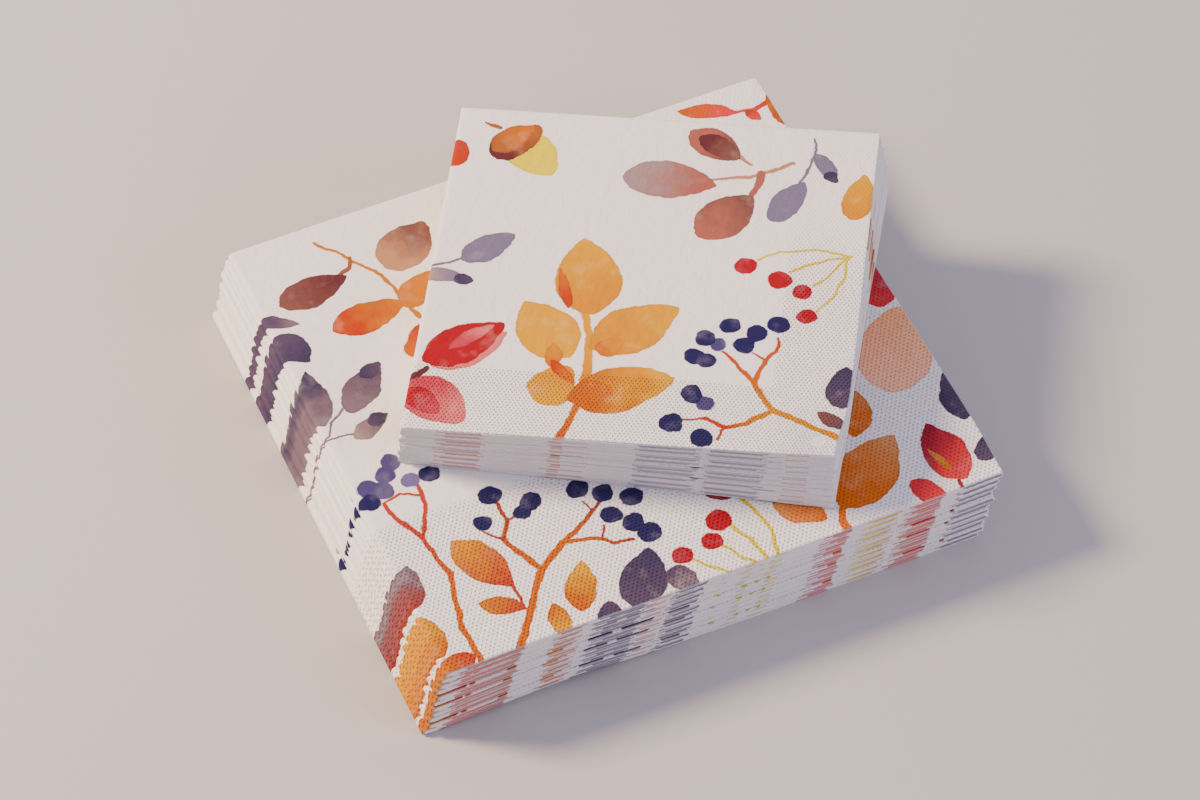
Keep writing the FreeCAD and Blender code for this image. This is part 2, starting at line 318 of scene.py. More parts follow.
# The printer's inks, as linear red, green and blue.
INKS = {
    "gold": (0.58, 0.275, 0.002),
    "ochre": (0.52, 0.195, 0.001),
    "amber": (0.46, 0.115, 0.001),
    "yellow": (0.68, 0.54, 0.001),
    "orange": (0.42, 0.088, 0.0005),
    "apricot": (0.44, 0.135, 0.004),
    "red_orange": (0.38, 0.030, 0.002),
    "coral": (0.36, 0.034, 0.014),
    "brick": (0.23, 0.028, 0.018),
    "red": (0.30, 0.001, 0.010),
    "rose": (0.42, 0.030, 0.055),
    "blush": (0.56, 0.13, 0.125),
    "scarlet": (0.58, 0.030, 0.034),
    "magenta": (0.48, 0.022, 0.085),
    "crimson": (0.28, 0.010, 0.026),
    "rust": (0.30, 0.085, 0.014),
    "terracotta": (0.30, 0.085, 0.060),
    "copper": (0.60, 0.215, 0.055),
    "sienna": (0.60, 0.118, 0.004),
    "peach": (0.90, 0.44, 0.27),
    "salmon": (0.84, 0.37, 0.17),
    "tan": (0.38, 0.19, 0.10),
    "umber": (0.15, 0.055, 0.045),
    "maroon": (0.09, 0.02, 0.024),
    "taupe": (0.27, 0.19, 0.19),
    "mauve": (0.15, 0.10, 0.13),
    "mauve_grey": (0.14, 0.12, 0.20),
    "plum": (0.065, 0.043, 0.085),
    "slate": (0.034, 0.026, 0.07),
    "lilac": (0.12, 0.095, 0.24),
    "violet": (0.05, 0.04, 0.13),
    "indigo": (0.012, 0.010, 0.065),
    "lime": (0.58, 0.47, 0.003),
}


# --- Sizes and colours that a user would change ---

def amount(name, description, default, **kind):
    """A number that a user would change."""
    return bpy.props.FloatProperty(name=name, description=description, default=default, **kind)


def tint(name, description, default):
    """A colour that a user would change."""
    return bpy.props.FloatVectorProperty(
        name=name, description=description, default=default, subtype="COLOR", size=3
    )


class TissueSettings(bpy.types.PropertyGroup):
    """The tissue that both kinds of napkin are made of."""

    leaf: amount("Leaf Thickness", "One leaf of loose three-ply tissue", 0.55 * MM, unit="LENGTH")
    leaf_gap: amount(
        "Leaf Gap", "Air between the two leaves inside the first fold", 0.06 * MM, unit="LENGTH"
    )
    fold_gap: amount(
        "Fold Gap", "Air between the two halves inside the second fold", 0.08 * MM, unit="LENGTH"
    )
    paper: tint("Paper", "Colour of the bare tissue", (0.83, 0.80, 0.785))


class PileSettings(bpy.types.PropertyGroup):
    """One pile of napkins. The defaults are those of the lunch napkins."""

    sheet: amount("Sheet Side", "Side of the flat sheet", 0.33, unit="LENGTH")
    turn_low: amount("Turn of the Lowest", "Angle of the lowest napkin", 0.0, subtype="ANGLE")
    turn_high: amount(
        "Turn of the Highest", "Angle of the top napkin", math.radians(0.2), subtype="ANGLE"
    )
    dot_pitch: amount("Dot Pitch", "Distance between embossed dots", 1.36 * MM, unit="LENGTH")
    front_band: amount(
        "Front Band", "Width of the embossed band along the front edge", 55 * MM, unit="LENGTH"
    )
    side_band: amount(
        "Side Band", "Width of the embossed band along the side edge", 45 * MM, unit="LENGTH"
    )
    droop: amount(
        "Corner Droop", "How far the top napkin's loose corner sags", 0.5 * MM, unit="LENGTH"
    )
    edge_ink: amount(
        "Edge Ink", "How strongly the print shows on the cut edges", 0.8, subtype="FACTOR"
    )
    shift: amount(
        "Print Shift", "How far the print wanders from napkin to napkin", 0.4 * MM, unit="LENGTH"
    )


class StageSettings(bpy.types.PropertyGroup):
    """The floor, the lights and the camera."""

    floor: tint("Floor", "Colour of the floor", (0.47, 0.455, 0.44))
    key: amount("Key Light", "Power of the window side light", 82.0, unit="POWER")
    fill: amount("Fill Light", "Power of the light from the right", 10.0, unit="POWER")
    lens: amount("Lens", "Focal length of the camera", 142.3, unit="CAMERA")


# What differs for the cocktail napkins.
COCKTAIL_SIZES = {
    "sheet": 0.24,
    "turn_low": math.radians(-32.5),
    "turn_high": math.radians(-29.9),
    "dot_pitch": 1.16 * MM,
    "front_band": 24 * MM,
    "side_band": 22 * MM,
    "droop": 2.6 * MM,
    "edge_ink": 0.6,
    "shift": 0.5 * MM,
}


# --- Writing node trees as sums ---

class Wire:
    """A socket of a node tree that can be added, multiplied and so on, as a number can."""

    def __init__(self, tree, socket):
        self.tree = tree
        self.socket = socket

    def math(self, operation, *others):
        node = self.tree.nodes.new("ShaderNodeMath")
        node.operation = operation
        for slot, value in enumerate((self, *others)):
            feed(self.tree, node.inputs[slot], value)
        return Wire(self.tree, node.outputs[0])

    def vector(self, operation, *others, scale=None, out=0):
        node = self.tree.nodes.new("ShaderNodeVectorMath")
        node.operation = operation
        for slot, value in enumerate((self, *others)):
            feed(self.tree, node.inputs[slot], value)
        if scale is not None:
            feed(self.tree, node.inputs["Scale"], scale)
        return Wire(self.tree, node.outputs[out])

    def __add__(self, other):
        return self.math("ADD", other)

    def __sub__(self, other):
        return self.math("SUBTRACT", other)

    def __rsub__(self, other):
        return number(self.tree, other).math("SUBTRACT", self)

    def __mul__(self, other):
        return self.math("MULTIPLY", other)

    def __truediv__(self, other):
        return self.math("DIVIDE", other)

    __radd__ = __add__

    def scaled(self, factor, offset):
        return self.math("MULTIPLY_ADD", factor, offset)

    def split(self):
        node = self.tree.nodes.new("ShaderNodeSeparateXYZ")
        feed(self.tree, node.inputs[0], self)
        return [Wire(self.tree, out) for out in node.outputs]

    def clamped(self, low=0.0, high=1.0):
        node = self.tree.nodes.new("ShaderNodeClamp")
        for socket, value in zip(node.inputs, (self, low, high)):
            feed(self.tree, socket, value)
        return Wire(self.tree, node.outputs[0])


def feed(tree, socket, value):
    """Links a wire into a socket, or writes a plain value there."""
    if isinstance(value, Wire):
        tree.links.new(value.socket, socket)
    else:
        socket.default_value = value


def number(tree, value):
    """A plain number as a wire."""
    node = tree.nodes.new("ShaderNodeValue")
    node.outputs[0].default_value = value
    return Wire(tree, node.outputs[0])


def joined(tree, x, y, z):
    """A vector from its three parts."""
    node = tree.nodes.new("ShaderNodeCombineXYZ")
    for slot, value in enumerate((x, y, z)):
        feed(tree, node.inputs[slot], value)
    return Wire(tree, node.outputs[0])


def noise(tree, place, scale, detail=2.0, colour=False, seed=None, roughness=0.5):
    """Noise of about 0 to 1 at a place, with a value for its fourth dimension if it has a seed."""
    node = tree.nodes.new("ShaderNodeTexNoise")
    node.noise_dimensions = "3D" if seed is None else "4D"
    feed(tree, node.inputs["Vector"], place)
    if seed is not None:
        feed(tree, node.inputs["W"], seed)
    node.inputs["Scale"].default_value = scale
    node.inputs["Detail"].default_value = detail
    node.inputs["Roughness"].default_value = roughness
    return Wire(tree, node.outputs["Color" if colour else "Fac"])


def strays(tree, place, scale, **options):
    """Coloured noise as a vector about nothing, up to a half each way."""
    return noise(tree, place, scale, colour=True, **options).vector("SUBTRACT", (0.5, 0.5, 0.5))


def steps(value, low, high):
    """A smooth step, 0 below low and 1 above high."""
    node = value.tree.nodes.new("ShaderNodeMapRange")
    node.interpolation_type = "SMOOTHSTEP"
    feed(value.tree, node.inputs["Value"], value)
    feed(value.tree, node.inputs["From Min"], low)
    feed(value.tree, node.inputs["From Max"], high)
    return Wire(value.tree, node.outputs["Result"])


def blended(share, under, over, mode="MIX"):
    """One colour over another, as far as the share says."""
    tree = share.tree
    node = tree.nodes.new("ShaderNodeMix")
    node.data_type = "RGBA"
    node.blend_type = mode
    feed(tree, node.inputs["Factor"], share)
    feed(tree, node.inputs["A"], under)
    feed(tree, node.inputs["B"], over)
    colours = [out for out in node.outputs if out.type == "RGBA"]
    return Wire(tree, colours[0])


def new_group(name, kind, inputs, output):
    """A node group with its input and output nodes. Returns it, its inputs as wires, and out.

    An input is given by the number that it starts at or by its socket's kind.
    """
    group = bpy.data.node_groups.new(name, kind)
    for label, value in inputs.items():
        plain = not isinstance(value, str)
        socket = "NodeSocketFloat" if plain else f"NodeSocket{value}"
        item = group.interface.new_socket(name=label, in_out="INPUT", socket_type=socket)
        if plain:
            item.default_value = value
    label, socket = output
    group.interface.new_socket(name=label, in_out="OUTPUT", socket_type=f"NodeSocket{socket}")
    source = group.nodes.new("NodeGroupInput")
    sink = group.nodes.new("NodeGroupOutput")
    return group, {label: Wire(group, source.outputs[label]) for label in inputs}, sink


# --- The flat sheet ---

# How a leaf's cut edge is shaped, from its printed face to its back: how far in from the edge,
# in leaf thicknesses, and the height, from 1 at the print to -1 at the back. The two hollows
# part the three plies.
EDGE = [
    (0.36, 1.0),
    (0.03, 0.82),
    (0.17, 0.34),
    (0.0, 0.0),
    (0.17, -0.34),
    (0.03, -0.82),
    (0.36, -1.0),
]

# The share of the bake map that each face of the sheet takes up.
PRINT_SHARE, QUARTER_SHARE, STRIP = 0.9, 0.76, 0.02


def spread(low, high, pitch):
    """Evenly spaced values from low to high, both included, about a pitch apart."""
    count = max(1, round((high - low) / pitch))
    return [low + (high - low) * k / count for k in range(count + 1)]


def sheet_lines(folded, reach, inset, fine, coarse):
    """Grid lines from a cut edge to the opposite one, in distance from the edge that shows.

    The first half is fine, the turn at the fold is finer, and what lies past it is coarse.
    """
    turn = spread(folded - reach, folded + reach, reach / 5)
    first = spread(inset, folded - reach, fine)
    last = spread(folded + reach, 2 * folded - inset, coarse)
    return first + turn[1:-1] + last


class SheetMesh:
    """Builds a flat closed slab as lists of points, faces, map places and ply sides."""

    def __init__(self, folded, leaf):
        self.folded = folded
        self.leaf = leaf
        self.points = []
        self.sides = []
        self.faces = []
        self.bake = []

    def point(self, across, along, side):
        """A point at distances from the two cut edges that show at the front and right."""
        middle = self.folded / 2
        self.points.append((middle - across, along - middle, side * self.leaf / 2))
        self.sides.append(side)
        return len(self.points) - 1

    def face(self, corners, places):
        self.faces.append(corners)
        self.bake.append(places)

    def map_share(self, distance):
        """Where a distance from a cut edge lies in the map: the quarter that shows gets most."""
        if distance < self.folded:
            return QUARTER_SHARE * distance / self.folded
        rest = PRINT_SHARE - QUARTER_SHARE
        return QUARTER_SHARE + rest * (distance / self.folded - 1)

    def map_place(self, index):
        x, y, _ = self.points[index]
        across, along = self.folded / 2 - x, y + self.folded / 2
        if self.sides[index] > 0:
            return (self.map_share(across), self.map_share(along))
        strip = 1 - PRINT_SHARE - 2 * STRIP
        share = across / (2 * self.folded)
        return (PRINT_SHARE + STRIP + strip * share, PRINT_SHARE * along / (2 * self.folded))

    def flat(self, corners):
        self.face(corners, [self.map_place(index) for index in corners])

    def grid(self, lines, side):
        """A net of quads. Returns its outline as (index, share of the way round) pairs."""
        count = len(lines)
        at = [[self.point(across, along, side) for across in lines] for along in lines]
        for j in range(count - 1):
            for i in range(count - 1):
                quad = (at[j][i], at[j][i + 1], at[j + 1][i + 1], at[j + 1][i])
                self.flat(quad[::-1] if side > 0 else quad)
        low, high = lines[0], lines[-1]
        part = [(value - low) / (high - low) for value in lines]
        # round the sheet: front, then along the far edge, back, and along the near one
        ring = [(at[0][i], part[i]) for i in range(count - 1)]
        ring += [(at[j][-1], 1 + part[j]) for j in range(count - 1)]
        ring += [(at[-1][i], 3 - part[i]) for i in range(count - 1, 0, -1)]
        ring += [(at[j][0], 4 - part[j]) for j in range(count - 1, 0, -1)]
        return ring

    def ring(self, inset, side, per_side):
        """Points round the sheet's edge, as many on each side."""
        low, high = inset, 2 * self.folded - inset
        corners = [(low, low), (high, low), (high, high), (low, high), (low, low)]
        ring = []
        for k in range(4):
            for step in range(per_side):
                part = step / per_side
                across = corners[k][0] + (corners[k + 1][0] - corners[k][0]) * part
                along = corners[k][1] + (corners[k + 1][1] - corners[k][1]) * part
                ring.append((self.point(across, along, side), k + part))
        return ring

    def zip(self, outer, inner, upward):
        """Triangles between two rings with different numbers of points."""
        i = j = 0
        while i < len(outer) or j < len(inner):
            next_outer = outer[i + 1][1] if i + 1 < len(outer) else 4
            next_inner = inner[j + 1][1] if j + 1 < len(inner) else 4
            a, b = outer[i % len(outer)][0], inner[j % len(inner)][0]
            if j >= len(inner) or (i < len(outer) and next_outer <= next_inner):
                third = outer[(i + 1) % len(outer)][0]
                i += 1
            else:
                third = inner[(j + 1) % len(inner)][0]
                j += 1
            triangle = (a, third, b)
            self.flat(triangle[::-1] if upward else triangle)

    def edge(self, per_side):
        """The shaped cut edge. Returns its first and last rings."""
        rings = [self.ring(inset * self.leaf, side, per_side) for inset, side in EDGE]
        count = len(rings[0])
        height = (1 - PRINT_SHARE - 2 * STRIP) / 4 / (len(rings) - 1)
        for level, (upper, lower) in enumerate(zip(rings, rings[1:])):
            for k in range(count):
                n = (k + 1) % count
                side, part = divmod(k, per_side)
                left, right = PRINT_SHARE * part / per_side, PRINT_SHARE * (part + 1) / per_side
                base = PRINT_SHARE + STRIP + side * (height * (len(rings) - 1) + STRIP / 4)
                top, bottom = base + height * level, base + height * (level + 1)
                self.face(
                    (upper[k][0], upper[n][0], lower[n][0], lower[k][0]),
                    [(left, top), (right, top), (right, bottom), (left, bottom)],
                )
        return rings[0], rings[-1]

    def mesh(self, name):
        data = bpy.data.meshes.new(name)
        data.from_pydata(self.points, [], self.faces)
        flat = data.uv_layers.new(name=PRINT_MAP)
        baked = data.uv_layers.new(name=BAKE_MAP)
        corner = 0
        for face, places in zip(self.faces, self.bake):
            for index, place in zip(face, places):
                x, y, _ = self.points[index]
                flat.uv[corner].vector = (x, y)
                baked.uv[corner].vector = place
                corner += 1
        sides = data.attributes.new(PLY_SIDE, "FLOAT", "POINT")
        sides.data.foreach_set("value", self.sides)
        data.uv_layers.active = flat
        flat.active_render = True
        data.validate()
        data.shade_smooth()
        return data


def flat_sheet(name, sheet, tissue, fine, coarse, edge_pitch):
    """A flat slab of tissue, one leaf thick, with its shown quarter in place."""
    folded = sheet / 2
    builder = SheetMesh(folded, tissue.leaf)
    reach = 2.4 * MM
    inset = 3 * tissue.leaf
    per_side = round(sheet / edge_pitch)
    top, bottom = builder.edge(per_side)
    front = builder.grid(sheet_lines(folded, reach, inset, fine, coarse), 1.0)
    back = builder.grid(sheet_lines(folded, reach, inset, coarse, coarse), -1.0)
    builder.zip(top, front, upward=True)
    builder.zip(bottom, back, upward=False)
    return builder.mesh(name)


# --- Folding ---

# How square a pressed fold is: 1 is a half circle, and a smaller number is squarer.
PRESSED = 0.5
# The slip of the inner leaves at the two folds, and how soon past each fold it sets in.
SLIP, FIRST_SETTLE, SECOND_SETTLE = 0.9 * MM, 2 * MM, 3 * MM
# How far in from the cut edges the leaves stand apart, and how far in the dots ripple them.
LOOSE_REACH, RIPPLE_REACH = 14 * MM, 4 * MM
# How far in the loose corner sags.
SAG_REACH = 13 * MM
# How much thicker a pile is in one spot than in another.
SWELL = 0.04
# The spot where the lowest napkins' front edge curls up: its middle, reach and height.
CURL_MIDDLE, CURL_REACH, CURL_RISE = (-42 * MM, -83.5 * MM), (26 * MM, 22 * MM, 20 * MM), 2.3 * MM

FOLD_INPUTS = {
    "Geometry": "Geometry",
    "Folded Side": 0.165,
    "Leaf Thickness": 0.00055,
    "Leaf Gap": 0.00006,
    "Fold Gap": 0.00008,
    "Place": "Vector",
    "Turn": 0.0,
    "Shear": "Vector",
    "Edge Wave": 0.00012,
    "Dot Pitch": 0.0019,
    "Spread": 0.0005,
    "Wrinkle": 0.0,
    "Corner Droop": 0.0,
    "Droop Growth": 0.0,
    "Seed": 0.0,
    "Tissue": "Material",
}


def pressed_turn(angle):
    """How far out and how high a fold is at an angle: a half circle pressed nearly square."""
    out = angle.math("SINE").math("MAXIMUM", 0.0).math("POWER", PRESSED)
    up = angle.math("COSINE")
    high = up.math("ABSOLUTE").math("POWER", PRESSED) * up.math("SIGN")
    return out, high


def bell(away):
    """A smooth hump, 1 where away is nothing and close to 0 where it is 2."""
    return (away.math("POWER", 2.0) * -1.0).math("EXPONENT")


def quarter_fold():
    """The tree that folds a flat sheet in half twice and lays it in its place."""
    tree, ins, sink = new_group(
        "Quarter Fold", "GeometryNodeTree", FOLD_INPUTS, ("Geometry", "Geometry")
    )
    folded, leaf = ins["Folded Side"], ins["Leaf Thickness"]
    flat = Wire(tree, tree.nodes.new("GeometryNodeInputPosition").outputs[0])
    x, y, n = flat.split()
    across = folded * 0.5 - x
    along = y + folded * 0.5

    # the sheet is never folded quite on its middle lines
    slip = strays(tree, joined(tree, ins["Seed"], 0.5, 0.5), 3.7, detail=0.0)
    slip_x, slip_y, _ = slip.split()

    # first fold: half of the sheet turns under itself at the far side
    radius = (leaf + ins["Leaf Gap"]) * 0.5
    run = folded - leaf - ins["Leaf Gap"] * 0.5
    past = along - run
    angle = (past / radius).clamped(0.0, math.pi)
    arm = radius + n
    bulge, rise = pressed_turn(angle)
    depth = run.math("MINIMUM", along) + arm * bulge
    depth = depth - (past - radius * math.pi).math("MAXIMUM", 0.0) - folded * 0.5
    depth = depth + steps(past, 0.0, FIRST_SETTLE) * slip_y * SLIP
    middle = ins["Fold Gap"] * 0.5 + leaf + ins["Leaf Gap"] * 0.5
    height = middle + arm * rise

    # second fold: the folded pair turns under itself at the left
    run = folded - ins["Fold Gap"] * 0.5 - leaf * 2.0 - ins["Leaf Gap"]
    past = across - run
    angle = (past / middle).clamped(0.0, math.pi)
    bulge, rise = pressed_turn(angle)
    left = folded * 0.5 - run.math("MINIMUM", across) - height * bulge
    left = left + (past - middle * math.pi).math("MAXIMUM", 0.0)
    left = left + steps(past, 0.0, SECOND_SETTLE) * slip_x * SLIP
    level = height * rise

    # cut edges stand a little apart, in and out and up and down
    from_edge = (left * -1.0 + folded * 0.5).math("MINIMUM", depth + folded * 0.5)
    near_edge = 1.0 - steps(from_edge, 0.0, LOOSE_REACH)
    sheet_place = joined(tree, x, y, 0.0)
    loose_x, loose_y, loose_z = strays(tree, sheet_place, 38.0, seed=ins["Seed"]).split()
    left = left + near_edge * loose_x * ins["Spread"] * 1.6
    depth = depth + near_edge * loose_y * ins["Spread"] * 1.6
    level = level + near_edge * loose_z * ins["Spread"]

    # the embossed dots throw the cut edges into small waves
    at_edge = 1.0 - steps(from_edge, 0.0, RIPPLE_REACH)
    ripple_x = (left * math.pi / ins["Dot Pitch"] + ins["Seed"]).math("SINE")
    ripple_y = (depth * math.pi / ins["Dot Pitch"] + ins["Seed"] * 1.7).math("SINE")
    level = level + at_edge * ripple_x * ripple_y * ins["Edge Wave"] * 2.0

    # soft hollows in the leaf that lies on top
    short_of_folds = [1.0 - steps(way - folded, -20 * MM, 0.0) for way in (across, along)]
    top_leaf = short_of_folds[0] * short_of_folds[1]
    hollow = noise(tree, sheet_place, 26.0, detail=3.0, seed=ins["Seed"] + 7.0) - 0.7
    level = level + top_leaf * hollow * ins["Wrinkle"]

    # the corner where all the cut edges meet sags, more so the higher up the leaf
    to_corner = joined(tree, left - folded * 0.5, depth + folded * 0.5, 0.0)
    sag = bell(to_corner.vector("LENGTH", out=1) / SAG_REACH)
    sag = sag * (ins["Corner Droop"] + level * ins["Droop Growth"])
    left = left - sag
    depth = depth + sag
    level = level - sag

    # the leaves of a leaning pile lean with it
    shear = ins["Shear"].split()
    left = left + level * shear[0]
    depth = depth + level * shear[1]

    # into its pile
    turned = tree.nodes.new("ShaderNodeVectorRotate")
    turned.rotation_type = "Z_AXIS"
    feed(tree, turned.inputs["Vector"], joined(tree, left, depth, level))
    feed(tree, turned.inputs["Angle"], ins["Turn"])
    place = Wire(tree, turned.outputs[0]).vector("ADD", ins["Place"])

    # every pile is a little thicker in one spot than in another, more so the higher up
    px, py, pz = place.split()
    swell = noise(tree, joined(tree, px, py, 0.0), 13.0, detail=1.0) - 0.5
    pz = pz * (1.0 + swell * SWELL)
    # the lowest napkins' front edge curls up off the table in one spot
    off = (px - CURL_MIDDLE[0], py - CURL_MIDDLE[1], pz)
    spot = joined(tree, *[part / reach for part, reach in zip(off, CURL_REACH)])
    curl = bell(spot.vector("LENGTH", out=1))
    # and nothing sinks into what the pile stands on
    place = joined(tree, px, py, (pz + curl * CURL_RISE).math("MAXIMUM", 0.0))

    moved = tree.nodes.new("GeometryNodeSetPosition")
    feed(tree, moved.inputs["Geometry"], ins["Geometry"])
    feed(tree, moved.inputs["Position"], place)
    whole = tree.nodes.new("GeometryNodeRealizeInstances")
    tree.links.new(moved.outputs[0], whole.inputs[0])
    dressed = tree.nodes.new("GeometryNodeSetMaterial")
    tree.links.new(whole.outputs[0], dressed.inputs["Geometry"])
    feed(tree, dressed.inputs["Material"], ins["Tissue"])
    tree.links.new(dressed.outputs[0], sink.inputs[0])
    return tree


def fold(flat, name, tree, values):
    """Folds a copy of the flat sheet and returns the plain mesh object that it makes."""
    worker = bpy.data.objects.new(f"{name}_flat", flat)
    bpy.context.collection.objects.link(worker)
    modifier = worker.modifiers.new("Fold", "NODES")
    modifier.node_group = tree
    for item in tree.interface.items_tree:
        if item.item_type == "SOCKET" and item.in_out == "INPUT" and item.name in values:
            modifier[item.identifier] = values[item.name]
    graph = bpy.context.evaluated_depsgraph_get()
    data = bpy.data.meshes.new_from_object(
        worker.evaluated_get(graph), preserve_all_data_layers=True, depsgraph=graph
    )
    data.name = name
    piece = bpy.data.objects.new(name, data)
    bpy.context.collection.objects.link(piece)
    bpy.data.objects.remove(worker)
    return piece


# --- Brushes of the print ---

# How soft a brush's outline is: the share it fades by in a millimetre.
LEAF_CRISP, TWIG_CRISP = 3.2, 3.6
# What shows through where the wash is thin.
LEAF_CLOUD, BERRY_CLOUD = (0.82, 0.70, 0.58, 1.0), (0.42, 0.34, 0.46, 1.0)


def leaf_brush():
    """Paints one leaf over what is under it."""
    tree, ins, sink = new_group(
        "Leaf Brush",
        "ShaderNodeTree",
        {
            "Under": "Color",
            "Place": "Vector",
            "Blot": 0.5,
            "Middle": "Vector",
            "Along": "Vector",
            "Across": "Vector",
            "Half Width": 5.0,
            "Sharpness": 0.7,
            "Foot": "Color",
            "Tip": "Color",
        },
        ("Over", "Color"),
    )
    # both run from -1 to 1 over the leaf
    local = ins["Place"].vector("SUBTRACT", ins["Middle"])
    along = local.vector("DOT_PRODUCT", ins["Along"], out=1)
    across = local.vector("DOT_PRODUCT", ins["Across"], out=1)
    # the outline is widest a little below the middle and comes to a point at the tip
    room = 1.0 - along * along
    outline = room.math("MAXIMUM", 0.0).math("POWER", ins["Sharpness"]) * (1.0 - along * 0.22)
    outline = outline + room.math("MINIMUM", 0.0) * 3.0
    inside = (outline - across.math("ABSOLUTE")) * ins["Half Width"]
    mask = inside.scaled(LEAF_CRISP, 0.5).clamped()
    wash = (along.scaled(0.72, -0.45) + ins["Blot"] * 1.9).clamped()
    colour = blended(wash, ins["Foot"], ins["Tip"])
    # pigment gathers at the outline
    gathered = inside.scaled(-0.20, 0.17).clamped()
    colour = blended(gathered, colour, (0.0, 0.0, 0.0, 1.0))
    # and thins out where the wash ran
    thin = ins["Blot"].scaled(0.6, -0.33).clamped()
    colour = blended(thin, colour, LEAF_CLOUD)
    tree.links.new(blended(mask, ins["Under"], colour).socket, sink.inputs[0])
    return tree


def berry_brush():
    """Paints one berry, paler where the wash thins."""
    tree, ins, sink = new_group(
        "Berry Brush",
        "ShaderNodeTree",
        {
            "Under": "Color",
            "Place": "Vector",
            "Blot": 0.5,
            "Middle": "Vector",
            "Radius": 3.0,
            "Ink": "Color",
        },
        ("Over", "Color"),
    )
    away = ins["Place"].vector("DISTANCE", ins["Middle"], out=1)
    mask = (ins["Radius"] - away).scaled(LEAF_CRISP, 0.5).clamped()
    thin = ins["Blot"].scaled(0.8, -0.41).clamped()
    colour = blended(thin, ins["Ink"], BERRY_CLOUD)
    tree.links.new(blended(mask, ins["Under"], colour).socket, sink.inputs[0])
    return tree


def twig_brush():
    """Paints one straight stretch of a twig that tapers from its start to its end."""
    tree, ins, sink = new_group(
        "Twig Brush",
        "ShaderNodeTree",
        {
            "Under": "Color",
            "Place": "Vector",
            "Start": "Vector",
            "Run": "Vector",
            "Per Length": 1.0,
            "Start Radius": 0.5,
            "Growth": 0.0,
            "Start Ink": "Color",
            "End Ink": "Color",
        },
        ("Over", "Color"),
    )
    reach = ins["Place"].vector("SUBTRACT", ins["Start"])
    share = (reach.vector("DOT_PRODUCT", ins["Run"], out=1) * ins["Per Length"]).clamped()
    nearest = ins["Run"].vector("SCALE", scale=share)
    away = reach.vector("DISTANCE", nearest, out=1)
    radius = share.scaled(ins["Growth"], ins["Start Radius"])
    mask = (radius - away).scaled(TWIG_CRISP, 0.5).clamped()
    colour = blended(share, ins["Start Ink"], ins["End Ink"])
    tree.links.new(blended(mask, ins["Under"], colour).socket, sink.inputs[0])
    return tree


# The brushes' names and makers, in the order that they are used.
BRUSHES = {
    "twig": ("Twig Brush", twig_brush),
    "leaf": ("Leaf Brush", leaf_brush),
    "berry": ("Berry Brush", berry_brush),
}


def stroke(tree, brush, under, values):
    """One use of a brush."""
    node = tree.nodes.new("ShaderNodeGroup")
    node.node_tree = brush
    node.hide = True
    feed(tree, node.inputs["Under"], under)
    for label, value in values.items():
        feed(tree, node.inputs[label], value)
    return Wire(tree, node.outputs["Over"])


def ink(name):
    """An ink as a socket's colour."""
    return (*INKS[name], 1.0)


def painted(tree, place, blot, paper, twigs, leaves, berries, brushes):
    """Paints every twig, leaf and berry of a print over the paper."""
    colour = paper
    for points, first_width, last_width, first_ink, last_ink in twigs:
        count = len(points) - 1
        first, last = Vector(INKS[first_ink]), Vector(INKS[last_ink])
        for k, (start, end) in enumerate(zip(points, points[1:])):
            start, run = Vector((*start, 0)), Vector((*end, 0)) - Vector((*start, 0))
            low, high = k / count, (k + 1) / count
            radii = [(first_width + (last_width - first_width) * part) / 2 for part in (low, high)]
            values = {
                "Place": place,
                "Start": start,
                "Run": run,
                "Per Length": 1 / run.length_squared,
                "Start Radius": radii[0],
                "Growth": radii[1] - radii[0],
                "Start Ink": (*first.lerp(last, low), 1.0),
                "End Ink": (*first.lerp(last, high), 1.0),
            }
            colour = stroke(tree, brushes["twig"], colour, values)
    for x, y, long, wide, angle, foot, tip, sharpness in leaves:
        turn = math.radians(angle)
        values = {
            "Place": place,
            "Blot": blot,
            "Middle": (x, y, 0),
            "Along": (2 / long * math.cos(turn), 2 / long * math.sin(turn), 0),
            "Across": (-2 / wide * math.sin(turn), 2 / wide * math.cos(turn), 0),
            "Half Width": wide / 2,
            "Sharpness": sharpness,
            "Foot": ink(foot),
            "Tip": ink(tip),
        }
        colour = stroke(tree, brushes["leaf"], colour, values)
    for name, spots in berries:
        for x, y, radius in spots:
            values = {
                "Place": place,
                "Blot": blot,
                "Middle": (x, y, 0),
                "Radius": radius,
                "Ink": ink(name),
            }
            colour = stroke(tree, brushes["berry"], colour, values)
    return colour


# How high the fibres and the crepe stand and how deep a dot is pressed in, in millimetres.
FIBRE_RELIEF, CREPE_RELIEF, DOT_DEPTH = 0.07, 0.26, 0.40
# The distance between rows of dots against the distance between the dots of a row.
ROW_PITCH = 1 / 0.62
# How much painted shade darkens each pressed-in dot, and towards what colour.
DOT_SHADE, DOT_SHADE_COLOUR = 0.12, (0.42, 0.36, 0.36, 1.0)
# How far the hand that drew the print strays, in millimetres.
HAND = 2.6


